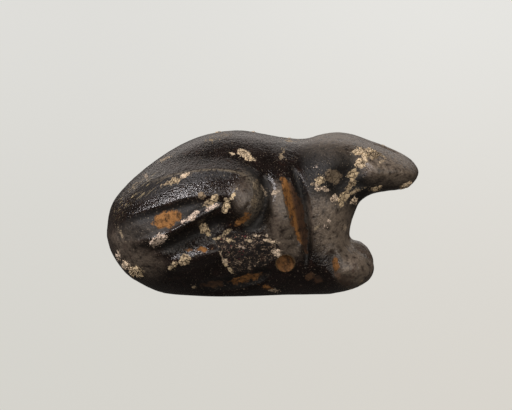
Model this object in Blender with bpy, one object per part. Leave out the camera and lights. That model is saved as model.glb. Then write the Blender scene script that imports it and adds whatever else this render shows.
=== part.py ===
"""A small crouching frog carved from one lump of dark stone, with a string hole drilled across it.

The frog faces +X, rests on its flat underside at z = 0 and is the same on both sides of y = 0.
Its form is drawn in hundredths of its own length, called parts below, with zero at mid length.
"""
import bmesh
import bpy
import numpy as np

# Driving sizes, in metres
LENGTH = 0.0210
BODY_WIDTH = 0.0107
HOLE_DIAMETER = 0.0012

# How finely the form is meshed
VOXELS = (1.6, 1, 0.7)
EVENING_ROUNDS = 3
FIRST_SETTLING = 6
SECOND_SETTLING = 2
SLOPE_STEP = 0.25
TRIANGLES = 8600
HOLE_SIDES = 24
MAP_CELL = 0.5
MAP_SPAN = ((-58, 58), (-12, 60))

# Looks of the stone
STONE_COLOUR = (0.022, 0.017, 0.018, 1)
STONE_ROUGHNESS = 0.4

# The middle outline seen from the side, as (along, up): back, snout, chin, chest, paw, underside, rump
OUTLINE = [
    (-50, 20.3), (-48.5, 28), (-44.1, 34), (-38, 39.6), (-30.2, 45.2), (-22.3, 49.3), (-14.6, 51.4),
    (-6.9, 52), (0.8, 50.8), (8, 49.6), (13.7, 49.4), (18.8, 50.7), (24, 51.3), (29, 50.6),
    (34.2, 48.8), (39.4, 46.9), (44.5, 44.6), (48.1, 42.1), (50, 38.8), (48.1, 35.3), (44.5, 33.6),
    (39.4, 32.9), (34.8, 31.9), (31.1, 29.3), (29.3, 24.5), (28.5, 20), (29, 16.9), (32, 15.8),
    (34.8, 13.2), (36.5, 9), (35.5, 5.2), (32.3, 2.4), (28, 0.6), (22, -0.6), (14, -1.2), (6, -1.6),
    (-4, -2.6), (-15, -3), (-25, -1.6), (-33.4, 0.2), (-39.1, 2.8), (-43.8, 6), (-47.7, 11.2), (-49.6, 16),
]
# How far in from the outline the side stops curving, as (along, inset)
ROUNDNESS = [(-50, 22), (0, 22), (12, 18), (22, 10), (30, 8), (38, 6.8), (44, 4.8), (50, 4.4)]
# The width at mid height before carving, as (along, share of the body's width), and half of it in parts
WIDTH_SHARES = [(-50, 0.905), (-38, 0.97), (-20, 1), (-5, 0.97), (6, 0.89), (16, 0.82), (26, 0.73), (34, 0.645),
                (42, 0.52), (50, 0.395)]
HALF_WIDTH = BODY_WIDTH / LENGTH * 50
# What is left of that width at the foot, as (along, share), and the heights between which it tapers
FOOT_SHARES = [(-50, 0.8), (0, 0.84), (16, 0.78), (28, 0.76), (36, 0.8)]
FOOT_TAPER = (2, 30)

# Carving on each flank, as (along, up) seen from the side and a little above: first the raised masses
SIGHT_RISE = np.radians(8)
HAUNCH = [(-48.5, 22), (-46, 30), (-41, 34), (-35.4, 37.2), (-28.4, 39.4), (-20, 40.6), (-12, 40.6), (-5, 38.6),
          (-0.6, 33.4), (-1, 28), (-5, 23.4), (-10, 22.6), (-15, 24.6), (-21, 21.8), (-30.4, 17.4), (-38, 14.6),
          (-46, 14)]
THIGH = [(-49, 22), (-47, 28.6), (-41.6, 34), (-35.6, 37.8), (-28.6, 40.2), (-20, 41.4), (-11.4, 41.4), (-4, 39.4),
         (0.2, 34), (-0.4, 28), (-4, 24.6), (-8.6, 25), (-12.4, 29.4), (-21.7, 28), (-28.9, 26), (-37.8, 23.4),
         (-44.2, 20.9)]
KNEE = [(-9, 31.5), (-6.4, 35.2), (-3.4, 33), (-3.4, 29), (-6, 26.8)]
PAW = [(26, 13), (31, 15), (36, 10), (34, 4), (27, 2.6), (22, 4), (23, 10)]
CHEEK = [(33, 43.4), (31.4, 39), (33, 35.6), (41, 35.6), (47, 37), (46, 41), (39, 44.4)]
# A mass: its outline, how softly it rises at the edge and how high
FLANK_MASSES = [(HAUNCH, 3, 1), (THIGH, 2.2, 2.4), (KNEE, 4, 1.6), (PAW, 6, 2), (CHEEK, 5, 1.6)]
# Then the routes of its rims, hollows and grooves
HAUNCH_RIM = [(-47.7, 25.6), (-44.9, 29.4), (-40, 32.7), (-34.6, 35.5), (-28, 37.5), (-20, 38.8), (-12, 38.9),
              (-5.6, 37.2), (-1.8, 33), (-1.8, 27.5), (-5.6, 22.8)]
BACK_VALLEY = [(-44, 36.6), (-36.2, 41), (-28, 43.6), (-20, 45), (-12, 44.6), (-5, 42)]
KNEE_GAP = [(0.2, 38), (0.4, 34), (0, 29), (-1.4, 23.4), (-5, 19.4)]
THIGH_GROOVE = [(-49, 19.6), (-44.2, 21.6), (-37.8, 24.1), (-28.9, 26.6), (-21.7, 28.6), (-14, 30)]
SHIN_EDGE = [(-44, 14.8), (-37.8, 16), (-30.4, 18.6), (-21, 23.2), (-15, 27), (-12, 28.6)]
SHIN_DROP = [(-38, 12.8), (-30, 15.2), (-20.6, 19.6), (-14, 22.8), (-8, 23)]
SHIN_HOLLOW = [(-36, 10.4), (-28, 13.4), (-20, 17), (-12, 19.6), (-5, 19.4), (2, 18.4)]
FOOT_RIDGE = [(-33, 7.6), (-25, 10), (-17.5, 12), (-12.4, 14)]
FOOT_GROOVE = [(-25, 0.6), (-16.2, 1.8), (-7.2, 3.4), (-0.2, 5.6), (5, 8)]
ARM = [(8, 54), (6.8, 46), (6, 38), (5.8, 31), (6.2, 25), (7, 18), (9, 9)]
RECESS_BED = [(7.4, 36), (9.2, 29), (10.8, 21.6), (12, 14)]
ARM_GROOVE = [(8, 43), (10.4, 37), (12.4, 31), (13.6, 25), (14.2, 18), (14, 11), (13.6, 6)]
PAW_GROOVE = [(22.6, 14), (22.4, 11), (23, 7), (24.6, 3)]
JAW_GROOVE = [(35, 45), (31, 41), (28, 36.6), (24.4, 32), (20, 29.4)]
MOUTH = [(27, 33.4), (33, 34.4), (38.7, 34.8), (44, 35.6), (49, 37)]
BROW = [(17.8, 47.8), (26.5, 47.6), (36.2, 45.6), (45.5, 42.4)]
# A stroke: its route, half of its width and its height, below zero for a cut
FLANK_STROKES = [
    (HAUNCH_RIM, 2.4, 0.5), (BACK_VALLEY, 8, -1.8), (KNEE_GAP, 3.8, -2.2),
    (THIGH_GROOVE, 2.4, -1.6), (SHIN_EDGE, 2.2, 1.6), (SHIN_DROP, 3.4, -1.6), (SHIN_HOLLOW, 6, -1.6),
    (FOOT_RIDGE, 3.8, 1.8), (FOOT_GROOVE, 3.4, -2.2), (ARM, 6, 2.2), (RECESS_BED, 3, -1.4), (ARM_GROOVE, 2.2, -2.4),
    (PAW_GROOVE, 2.6, -0.8), (JAW_GROOVE, 8, -3), (MOUTH, 3.2, -1.4), (BROW, 3.6, 1),
]
ROUTE_FADE = 0.3

# Grooves along the middle: between the brows on top, down the chest, and between the paws
BROW_GROOVE = dict(ends=(32, 47), heights=(36, 40), half_width=3.2, depth=1.5)
CHEST_GROOVE = dict(heights=(28, 20), half_width=7, depth=1.6)
PAW_CLEFT = dict(heights=(17, 9), half_width=4.5, depth=4.4)
FRONT_STARTS = (20, 26)

# Where the string hole crosses the middle, as (along, up)
HOLE_PLACE = (7.2, 11.9)


def smooth_route(points, closed=False, steps=6):
    """Rows along a smooth curve through the given points."""
    points = np.array(points, float)
    if closed:
        guide = np.vstack([points[-1:], points, points[:2]])
    else:
        guide = np.vstack([2 * points[0] - points[1], points, 2 * points[-1] - points[-2]])
    rows = []
    for before, start, end, after in zip(guide, guide[1:], guide[2:], guide[3:]):
        for t in np.arange(steps) / steps:
            bend = (2 * before - 5 * start + 4 * end - after) * t * t
            twist = (3 * start - before - 3 * end + after) * t ** 3
            rows.append((2 * start + (end - before) * t + bend + twist) / 2)
    if not closed:
        rows.append(points[-1])
    return np.array(rows)


def station_value(stations, along):
    """A smooth value along the frog, through the given stations."""
    rows = smooth_route(stations)
    return np.interp(along, rows[:, 0], rows[:, 1])


def ease(t):
    """A smooth rise from 0 to 1 as t goes from 0 to 1."""
    t = np.clip(t, 0, 1)
    return t * t * (3 - 2 * t)


def between(value, span):
    """A smooth rise from 0 to 1 as the value crosses the span."""
    return ease((value - span[0]) / (span[1] - span[0]))


def bump(t):
    """1 at t = 0, falling smoothly to 0 at t = 1 and beyond."""
    return np.clip(1 - t * t, 0, 1) ** 2


def nearest_on(rows, along, up):
    """How far each place is from a route, and how far along the route its nearest point lies, 0 to 1."""
    distance = np.full(along.shape, np.inf)
    progress = np.zeros(along.shape)
    for i, (start, end) in enumerate(zip(rows, rows[1:])):
        run = end - start
        t = ((along - start[0]) * run[0] + (up - start[1]) * run[1]) / (run @ run)
        t = np.clip(t, 0, 1)
        gap = np.hypot(along - start[0] - t * run[0], up - start[1] - t * run[1])
        closer = gap < distance
        distance = np.where(closer, gap, distance)
        progress = np.where(closer, (i + t) / (len(rows) - 1), progress)
    return distance, progress


def inset_from(rows, along, up):
    """Distance to a closed outline, above zero inside it."""
    ring = np.vstack([rows, rows[:1]])
    distance, _ = nearest_on(ring, along, up)
    inside = np.zeros(along.shape, bool)
    for (x0, z0), (x1, z1) in zip(ring, ring[1:]):
        crossed = (z0 > up) != (z1 > up)
        if z0 != z1:
            inside ^= crossed & (along < x0 + (up - z0) * (x1 - x0) / (z1 - z0))
    return np.where(inside, distance, -distance)


def flank_relief(along, up):
    """How far the carving raises the flank, below zero where it cuts in."""
    height = np.zeros(along.shape)
    for edge, softness, rise in FLANK_MASSES:
        inset = inset_from(smooth_route(edge, closed=True), along, up)
        height += rise * ease((inset + softness) / (2 * softness))
    for route, half_width, rise in FLANK_STROKES:
        distance, progress = nearest_on(smooth_route(route), along, up)
        fade = ease(progress / ROUTE_FADE) * ease((1 - progress) / ROUTE_FADE)
        height += rise * fade * bump(distance / (half_width * (0.5 + 0.5 * fade)))
    return height


class SideMap:
    """Values worked out once over the side view, then read anywhere on it."""

    def __init__(self, value):
        (self.left, right), (self.low, top) = MAP_SPAN
        along = np.arange(self.left, right, MAP_CELL)
        up = np.arange(self.low, top, MAP_CELL)
        self.values = value(*np.meshgrid(along, up))

    def at(self, along, up):
        column = np.clip((along - self.left) / MAP_CELL, 0, self.values.shape[1] - 1.001)
        row = np.clip((up - self.low) / MAP_CELL, 0, self.values.shape[0] - 1.001)
        c = column.astype(int)
        r = row.astype(int)
        s = column - c
        t = row - r
        lower = self.values[r, c] * (1 - s) + self.values[r, c + 1] * s
        upper = self.values[r + 1, c] * (1 - s) + self.values[r + 1, c + 1] * s
        return lower * (1 - t) + upper * t


def middle_cuts(along, side, up):
    """Depth of the grooves that run along the middle of the frog."""
    start, end = BROW_GROOVE["ends"]
    stretch = bump((along - (start + end) / 2) / ((end - start) / 2))
    above = between(up, BROW_GROOVE["heights"])
    depth = BROW_GROOVE["depth"] * stretch * above * bump(side / BROW_GROOVE["half_width"])
    front = between(along, FRONT_STARTS)
    for cut in (CHEST_GROOVE, PAW_CLEFT):
        below = between(up, cut["heights"])
        depth += cut["depth"] * front * below * bump(side / cut["half_width"])
    return depth


def form_value(points, outline_map, relief_map):
    """Below zero inside the stone, zero on its surface; points are rows in parts."""
    along, across, up = points.T
    side = np.abs(across)
    seen_up = up * np.cos(SIGHT_RISE) - side * np.sin(SIGHT_RISE)
    inset = outline_map.at(along, up) - middle_cuts(along, side, up)
    share = station_value(FOOT_SHARES, along)
    taper = between(up, FOOT_TAPER)
    half_width = HALF_WIDTH * station_value(WIDTH_SHARES, along) * (share + (1 - share) * taper)
    half_width = half_width + relief_map.at(along, seen_up)
    edge = np.clip(1 - inset / station_value(ROUNDNESS, along), 0, None)
    return np.hypot(edge, side / half_width) - 1


def settle(mesh, maps, rounds):
    """Moves every vertex of the mesh onto the surface of the form."""
    points = np.empty(len(mesh.vertices) * 3, np.float32)
    mesh.vertices.foreach_get("co", points)
    points = points.reshape(-1, 3).astype(float)
    for _ in range(rounds):
        value = form_value(points, *maps)
        slope = np.empty_like(points)
        for axis in range(3):
            shift = np.zeros(3)
            shift[axis] = SLOPE_STEP
            ahead = form_value(points + shift, *maps)
            behind = form_value(points - shift, *maps)
            slope[:, axis] = (ahead - behind) / (2 * SLOPE_STEP)
        steepness = np.maximum((slope ** 2).sum(axis=1), 1e-6)
        move = -(value / steepness)[:, None] * slope
        reach = np.maximum(np.linalg.norm(move, axis=1) / 2, 1)
        points += move / reach[:, None]
    mesh.vertices.foreach_set("co", points.astype(np.float32).ravel())
    mesh.update()


def outline_block(outline):
    """A block as wide as the frog, cut to its outline."""
    form = bmesh.new()
    corners = [form.verts.new((along, -HALF_WIDTH, up)) for along, up in outline]
    face = form.faces.new(corners)
    far = bmesh.ops.extrude_face_region(form, geom=[face])
    moved = [item for item in far["geom"] if isinstance(item, bmesh.types.BMVert)]
    bmesh.ops.translate(form, verts=moved, vec=(0, 2 * HALF_WIDTH, 0))
    bmesh.ops.triangulate(form, faces=form.faces[:])
    bmesh.ops.recalc_face_normals(form, faces=form.faces[:])
    mesh = bpy.data.meshes.new("outline_block")
    form.to_mesh(mesh)
    form.free()
    return mesh


def modified(mesh, kind, **settings):
    """A new mesh: the given one with one modifier applied."""
    holder = bpy.data.objects.new("holder", mesh)
    bpy.context.scene.collection.objects.link(holder)
    modifier = holder.modifiers.new(kind.title(), kind)
    for name, value in settings.items():
        setattr(modifier, name, value)
    graph = bpy.context.evaluated_depsgraph_get()
    result = bpy.data.meshes.new_from_object(holder.evaluated_get(graph))
    bpy.data.objects.remove(holder)
    return result


def cut_flat(mesh):
    """Cuts the underside flat at zero height and closes it with one face."""
    form = bmesh.new()
    form.from_mesh(mesh)
    everything = form.verts[:] + form.edges[:] + form.faces[:]
    cut = bmesh.ops.bisect_plane(form, geom=everything, plane_co=(0, 0, 0), plane_no=(0, 0, -1), clear_outer=True)
    rim = [item for item in cut["geom_cut"] if isinstance(item, bmesh.types.BMEdge)]
    bmesh.ops.contextual_create(form, geom=rim)
    bmesh.ops.triangulate(form, faces=[face for face in form.faces if len(face.verts) > 3])
    bmesh.ops.recalc_face_normals(form, faces=form.faces[:])
    form.to_mesh(mesh)
    form.free()


def scaled_to_length(mesh):
    """Centres the form over the origin and turns parts into metres."""
    corners = np.array([vertex.co[:] for vertex in mesh.vertices])
    low = corners.min(axis=0)
    high = corners.max(axis=0)
    centre = (low + high) / 2
    scale = LENGTH / (high[0] - low[0])
    corners = (corners - (centre[0], centre[1], low[2])) * scale
    mesh.vertices.foreach_set("co", corners.astype(np.float32).ravel())
    mesh.update()
    return scale, centre[0]


def stone():
    """The dark stone."""
    material = bpy.data.materials.new("dark_stone")
    material.use_nodes = True
    shader = material.node_tree.nodes["Principled BSDF"]
    shader.inputs["Base Color"].default_value = STONE_COLOUR
    shader.inputs["Roughness"].default_value = STONE_ROUGHNESS
    shader.inputs["Metallic"].default_value = 0
    return material


def string_hole(scale, middle):
    """The drill's path across the frog."""
    place = ((HOLE_PLACE[0] - middle) * scale, 0, HOLE_PLACE[1] * scale)
    bpy.ops.mesh.primitive_cylinder_add(
        vertices=HOLE_SIDES, radius=HOLE_DIAMETER / 2, depth=LENGTH, location=place, rotation=(np.pi / 2, 0, 0))
    drill = bpy.context.object
    drill.name = "string_hole_cutter"
    drill.hide_render = True
    drill.display_type = "WIRE"
    return drill


def carved_frog():
    """The carved blank, settled on its form, cut flat below and drilled."""
    outline = smooth_route(OUTLINE, closed=True)
    maps = (SideMap(lambda along, up: inset_from(outline, along, up)), SideMap(flank_relief))
    mesh = outline_block(outline)
    for voxel in VOXELS:
        mesh = modified(mesh, "REMESH", mode="VOXEL", voxel_size=voxel)
        settle(mesh, maps, FIRST_SETTLING)
        mesh = modified(mesh, "SMOOTH", factor=0.5, iterations=EVENING_ROUNDS)
        settle(mesh, maps, SECOND_SETTLING)
    mesh = modified(mesh, "TRIANGULATE")
    mesh = modified(mesh, "DECIMATE", ratio=TRIANGLES / len(mesh.polygons))
    cut_flat(mesh)
    scale, middle = scaled_to_length(mesh)
    mesh.name = "frog_amulet"
    mesh.materials.append(stone())
    mesh.shade_smooth()
    frog = bpy.data.objects.new("frog_amulet", mesh)
    bpy.context.scene.collection.objects.link(frog)
    drill = string_hole(scale, middle)
    bore = frog.modifiers.new("String hole", "BOOLEAN")
    bore.operation = "DIFFERENCE"
    bore.solver = "EXACT"
    bore.object = drill
    return frog


for old in list(bpy.data.objects):
    bpy.data.objects.remove(old)
carved_frog()
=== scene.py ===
# %% [markdown]
# # A small frog carved from dark stone
# The object is an amulet about 21 mm long: a crouching frog cut from one lump of nearly black
# stone, worn smooth, with a string hole drilled across it. Old pale crust clings to it and brown
# earth fills its hollows. This lesson dresses the plain solid with a finer carving, the crust, the
# earth and their materials. It starts by loading the solid, which fixes the place and the size.

import bmesh
import bpy
import numpy as np
from mathutils import Matrix, Vector


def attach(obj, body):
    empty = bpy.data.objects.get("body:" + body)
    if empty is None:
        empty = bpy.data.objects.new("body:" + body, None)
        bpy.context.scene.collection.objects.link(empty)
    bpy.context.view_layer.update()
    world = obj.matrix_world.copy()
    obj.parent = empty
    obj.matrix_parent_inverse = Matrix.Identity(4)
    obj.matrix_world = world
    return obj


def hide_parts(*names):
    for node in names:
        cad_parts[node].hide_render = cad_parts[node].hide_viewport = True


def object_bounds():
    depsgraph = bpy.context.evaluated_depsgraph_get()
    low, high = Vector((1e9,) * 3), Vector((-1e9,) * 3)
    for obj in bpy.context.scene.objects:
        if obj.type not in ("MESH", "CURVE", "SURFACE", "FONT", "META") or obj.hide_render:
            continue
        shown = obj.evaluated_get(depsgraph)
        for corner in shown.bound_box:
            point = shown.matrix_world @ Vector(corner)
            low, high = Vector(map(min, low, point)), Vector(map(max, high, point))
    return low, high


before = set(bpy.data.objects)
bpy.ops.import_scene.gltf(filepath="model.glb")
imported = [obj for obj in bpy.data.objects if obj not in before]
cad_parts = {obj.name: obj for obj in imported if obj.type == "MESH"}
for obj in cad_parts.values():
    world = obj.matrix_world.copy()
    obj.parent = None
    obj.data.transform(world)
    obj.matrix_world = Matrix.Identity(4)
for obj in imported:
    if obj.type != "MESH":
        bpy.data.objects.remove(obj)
CAD_BOX = [list(corner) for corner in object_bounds()]
LENGTH = CAD_BOX[1][0] - CAD_BOX[0][0]
PART = LENGTH / 100
print("length", round(LENGTH * 1000, 2), "mm, so one part is", round(PART * 1000, 3), "mm")

# %% [markdown]
# ## Drawing the carving
# The whole form is drawn in hundredths of the frog's length, called parts. A route is a smooth
# curve through a few given points, as a carver would scratch them on the flank. Two
# functions measure how far any place lies from a route, or how deep inside an outline.

# %% Smooth routes and distances
def smooth_route(points, closed=False, steps=6):
    """Rows along a smooth curve through the given points."""
    points = np.array(points, float)
    if closed:
        guide = np.vstack([points[-1:], points, points[:2]])
    else:
        guide = np.vstack([2 * points[0] - points[1], points, 2 * points[-1] - points[-2]])
    rows = []
    for before, start, end, after in zip(guide, guide[1:], guide[2:], guide[3:]):
        for t in np.arange(steps) / steps:
            bend = (2 * before - 5 * start + 4 * end - after) * t * t
            twist = (3 * start - before - 3 * end + after) * t ** 3
            rows.append((2 * start + (end - before) * t + bend + twist) / 2)
    if not closed:
        rows.append(points[-1])
    return np.array(rows)


def station_value(stations, along):
    """A smooth value along the frog, through the given stations."""
    rows = smooth_route(stations)
    return np.interp(along, rows[:, 0], rows[:, 1])


def ease(t):
    """A smooth rise from 0 to 1 as t goes from 0 to 1."""
    t = np.clip(t, 0, 1)
    return t * t * (3 - 2 * t)


def between(value, span):
    """A smooth rise from 0 to 1 as the value crosses the span."""
    return ease((value - span[0]) / (span[1] - span[0]))


def bump(t):
    """1 at t = 0, falling smoothly to 0 at t = 1 and beyond."""
    return np.clip(1 - t * t, 0, 1) ** 2


def nearest_on(rows, along, up):
    """How far each place is from a route, and how far along the route its nearest point lies, 0 to 1."""
    distance = np.full(along.shape, np.inf)
    progress = np.zeros(along.shape)
    for i, (start, end) in enumerate(zip(rows, rows[1:])):
        run = end - start
        t = ((along - start[0]) * run[0] + (up - start[1]) * run[1]) / (run @ run)
        t = np.clip(t, 0, 1)
        gap = np.hypot(along - start[0] - t * run[0], up - start[1] - t * run[1])
        closer = gap < distance
        distance = np.where(closer, gap, distance)
        progress = np.where(closer, (i + t) / (len(rows) - 1), progress)
    return distance, progress


def inset_from(rows, along, up):
    """Distance to a closed outline, above zero inside it."""
    ring = np.vstack([rows, rows[:1]])
    distance, _ = nearest_on(ring, along, up)
    inside = np.zeros(along.shape, bool)
    for (x0, z0), (x1, z1) in zip(ring, ring[1:]):
        crossed = (z0 > up) != (z1 > up)
        if z0 != z1:
            inside ^= crossed & (along < x0 + (up - z0) * (x1 - x0) / (z1 - z0))
    return np.where(inside, distance, -distance)


MAP_CELL = 0.25
MAP_SPAN = ((-58, 58), (-12, 60))
LAST_PLACE = 1.001


class SideMap:
    """Values worked out once over the side view, then read anywhere on it."""

    def __init__(self, value):
        (self.left, right), (self.low, top) = MAP_SPAN
        along = np.arange(self.left, right, MAP_CELL)
        up = np.arange(self.low, top, MAP_CELL)
        self.values = value(*np.meshgrid(along, up))

    def at(self, along, up):
        """The value at each place, blended from the four map cells round it."""
        rows, columns = self.values.shape
        column = np.clip((along - self.left) / MAP_CELL, 0, columns - LAST_PLACE)
        row = np.clip((up - self.low) / MAP_CELL, 0, rows - LAST_PLACE)
        c = column.astype(int)
        r = row.astype(int)
        s = column - c
        t = row - r
        lower = self.values[r, c] * (1 - s) + self.values[r, c + 1] * s
        upper = self.values[r + 1, c] * (1 - s) + self.values[r + 1, c + 1] * s
        return lower * (1 - t) + upper * t


# %% Uneven grain for wear and edges
GRAIN_TILE = 48


def grain(points, size, seed):
    """Smooth random values from 0 to 1 at the points, with lumps about as wide as size."""
    table = np.random.default_rng(seed).random((GRAIN_TILE,) * 3)
    place = points / size
    cell = np.floor(place).astype(int)
    part = ease(place - cell)
    value = np.zeros(len(points))
    for corner in np.ndindex(2, 2, 2):
        weight = np.prod(np.where(corner, part, 1 - part), axis=1)
        at = (cell + corner) % GRAIN_TILE
        value += weight * table[at[:, 0], at[:, 1], at[:, 2]]
    return value


print("grain repeats every", GRAIN_TILE, "lumps")

# %% [markdown]
# ## The form of the frog
# The middle outline gives the profile: round back, long snout, the notch under the chin, the
# forepaws and the flat underside. From it the sides bulge to the half widths below, and the
# carving of each flank raises the haunch, knee, arm and paw, and cuts the grooves between them.
# These are the same sizes as the solid's, so the fine piece lies in the solid's place.

# %% Outline, widths and carving
OUTLINE = [
    (-50, 20.3), (-48.5, 28), (-44.1, 34), (-38, 39.6), (-30.2, 45.2), (-22.3, 49.3), (-14.6, 51.4),
    (-6.9, 52), (0.8, 50.8), (8, 49.6), (13.7, 49.4), (18.8, 50.7), (24, 51.3), (29, 50.6),
    (34.2, 48.8), (39.4, 46.9), (44.5, 44.6), (48.1, 42.1), (50, 38.8), (48.1, 35.3), (44.5, 33.6),
    (39.4, 32.9), (34.8, 31.9), (31.1, 29.3), (29.3, 24.5), (28.5, 20), (29, 16.9), (32, 15.8),
    (34.8, 13.2), (36.5, 9), (35.5, 5.2), (32.3, 2.4), (28, 0.6), (22, -0.6), (14, -1.2), (6, -1.6),
    (-4, -2.6), (-15, -3), (-25, -1.6), (-33.4, 0.2), (-39.1, 2.8), (-43.8, 6), (-47.7, 11.2), (-49.6, 16),
]
ROUNDNESS = [(-50, 22), (0, 22), (12, 18), (22, 10), (30, 8), (38, 6.8), (44, 4.8), (50, 4.4)]
BODY_WIDTH = 0.0107
WIDTH_SHARES = [(-50, 0.905), (-38, 0.97), (-20, 1), (-5, 0.97), (6, 0.89), (16, 0.82), (26, 0.73), (34, 0.645),
                (42, 0.52), (50, 0.395)]
HALF_WIDTH = BODY_WIDTH / 2 / PART
FOOT_SHARES = [(-50, 0.8), (0, 0.84), (16, 0.78), (28, 0.76), (36, 0.8)]
FOOT_TAPER = (2, 30)
SIGHT_RISE = np.radians(8)
HAUNCH = [(-48.5, 22), (-46, 30), (-41, 34), (-35.4, 37.2), (-28.4, 39.4), (-20, 40.6), (-12, 40.6), (-5, 38.6),
          (-0.6, 33.4), (-1, 28), (-5, 23.4), (-10, 22.6), (-15, 24.6), (-21, 21.8), (-30.4, 17.4), (-38, 14.6),
          (-46, 14)]
THIGH = [(-49, 22), (-47, 28.6), (-41.6, 34), (-35.6, 37.8), (-28.6, 40.2), (-20, 41.4), (-11.4, 41.4), (-4, 39.4),
         (0.2, 34), (-0.4, 28), (-4, 24.6), (-8.6, 25), (-12.4, 29.4), (-21.7, 28), (-28.9, 26), (-37.8, 23.4),
         (-44.2, 20.9)]
KNEE = [(-9, 31.5), (-6.4, 35.2), (-3.4, 33), (-3.4, 29), (-6, 26.8)]
PAW = [(26, 13), (31, 15), (36, 10), (34, 4), (27, 2.6), (22, 4), (23, 10)]
CHEEK = [(33, 43.4), (31.4, 39), (33, 35.6), (41, 35.6), (47, 37), (46, 41), (39, 44.4)]
FLANK_MASSES = [(HAUNCH, 3, 1), (THIGH, 2.2, 2.4), (KNEE, 4, 1.6), (PAW, 6, 2), (CHEEK, 5, 1.6)]
HAUNCH_RIM = [(-47.7, 25.6), (-44.9, 29.4), (-40, 32.7), (-34.6, 35.5), (-28, 37.5), (-20, 38.8), (-12, 38.9),
              (-5.6, 37.2), (-1.8, 33), (-1.8, 27.5), (-5.6, 22.8)]
BACK_VALLEY = [(-44, 36.6), (-36.2, 41), (-28, 43.6), (-20, 45), (-12, 44.6), (-5, 42)]
KNEE_GAP = [(0.2, 38), (0.4, 34), (0, 29), (-1.4, 23.4), (-5, 19.4)]
THIGH_GROOVE = [(-49, 19.6), (-44.2, 21.6), (-37.8, 24.1), (-28.9, 26.6), (-21.7, 28.6), (-14, 30)]
SHIN_EDGE = [(-44, 14.8), (-37.8, 16), (-30.4, 18.6), (-21, 23.2), (-15, 27), (-12, 28.6)]
SHIN_DROP = [(-38, 12.8), (-30, 15.2), (-20.6, 19.6), (-14, 22.8), (-8, 23)]
SHIN_HOLLOW = [(-36, 10.4), (-28, 13.4), (-20, 17), (-12, 19.6), (-5, 19.4), (2, 18.4)]
FOOT_RIDGE = [(-33, 7.6), (-25, 10), (-17.5, 12), (-12.4, 14)]
FOOT_GROOVE = [(-25, 0.6), (-16.2, 1.8), (-7.2, 3.4), (-0.2, 5.6), (5, 8)]
ARM = [(8, 54), (6.8, 46), (6, 38), (5.8, 31), (6.2, 25), (7, 18), (9, 9)]
RECESS_BED = [(7.4, 36), (9.2, 29), (10.8, 21.6), (12, 14)]
ARM_GROOVE = [(8, 43), (10.4, 37), (12.4, 31), (13.6, 25), (14.2, 18), (14, 11), (13.6, 6)]
PAW_GROOVE = [(22.6, 14), (22.4, 11), (23, 7), (24.6, 3)]
JAW_GROOVE = [(35, 45), (31, 41), (28, 36.6), (24.4, 32), (20, 29.4)]
MOUTH = [(27, 33.4), (33, 34.4), (38.7, 34.8), (44, 35.6), (49, 37)]
BROW = [(17.8, 47.8), (26.5, 47.6), (36.2, 45.6), (45.5, 42.4)]
FLANK_STROKES = [
    (HAUNCH_RIM, 2.4, 0.5), (BACK_VALLEY, 8, -1.8), (KNEE_GAP, 3.8, -2.2),
    (THIGH_GROOVE, 2.4, -1.6), (SHIN_EDGE, 2.2, 1.6), (SHIN_DROP, 3.4, -1.6), (SHIN_HOLLOW, 6, -1.6),
    (FOOT_RIDGE, 3.8, 1.8), (FOOT_GROOVE, 3.4, -2.2), (ARM, 6, 2.2), (RECESS_BED, 3, -1.4), (ARM_GROOVE, 2.2, -2.4),
    (PAW_GROOVE, 2.6, -0.8), (JAW_GROOVE, 8, -3), (MOUTH, 3.2, -1.4), (BROW, 3.6, 1),
]
ROUTE_FADE = 0.3
BROW_GROOVE = dict(ends=(32, 47), heights=(36, 40), half_width=3.2, depth=1.5)
CHEST_GROOVE = dict(heights=(28, 20), half_width=7, depth=1.6)
PAW_CLEFT = dict(heights=(17, 9), half_width=4.5, depth=4.4)
FRONT_STARTS = (20, 26)
HOLE_PLACE = (7.2, 11.9)
HOLE_RADIUS = 0.0006 / PART
print(len(FLANK_MASSES), "masses and", len(FLANK_STROKES), "strokes on each flank")

# %% [markdown]
# ## Finer strokes
# Close up, the carving has crisper marks than the solid holds: the thin worn edge along the
# haunch rim, the sharp line of the shin, the lens-shaped recess of the upper arm with its
# straight inner edge, and short cracks behind the brow. They are narrow strokes of the same kind.
# Nothing shows the far flank, so there they are fainter.

# %% Fine strokes
FAR_FAINTNESS = 0.3
RIM_EDGE = [(-40, 32.9), (-34.6, 35.7), (-28, 37.7), (-20, 38.9), (-12, 39), (-5.6, 37.4), (-1.9, 33.4)]
SHIN_LINE = [(-31.4, 18.4), (-27, 20.4), (-22, 23.6), (-17, 26.9)]
RECESS_EDGE = [(5.2, 36.4), (6.8, 29), (9, 21), (11.4, 14)]
KNEE_LINE = [(-4.4, 29.4), (-5, 26.8), (-6.6, 24.4)]
BROW_CRACKS = [[(25.2, 45.6), (28.4, 46.4), (31.4, 45.4)], [(27, 47.6), (29.6, 48.4), (31.2, 47.2)],
               [(20, 46.2), (23.4, 46.6)]]
FINE_STROKES = [(RIM_EDGE, 1.1, 0.35), (SHIN_LINE, 1.1, 0.8), (RECESS_EDGE, 0.9, 0.35), (KNEE_LINE, 0.9, -0.6)]
FINE_STROKES += [(crack, 0.6, -0.4) for crack in BROW_CRACKS]


def relief(masses, strokes, along, up):
    """How far the carving raises the flank, below zero where it cuts in."""
    height = np.zeros(along.shape)
    for edge, softness, rise in masses:
        inset = inset_from(smooth_route(edge, closed=True), along, up)
        height += rise * ease((inset + softness) / (2 * softness))
    for route, half_width, rise in strokes:
        distance, progress = nearest_on(smooth_route(route), along, up)
        fade = ease(progress / ROUTE_FADE) * ease((1 - progress) / ROUTE_FADE)
        height += rise * fade * bump(distance / (half_width * (0.5 + 0.5 * fade)))
    return height


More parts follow.
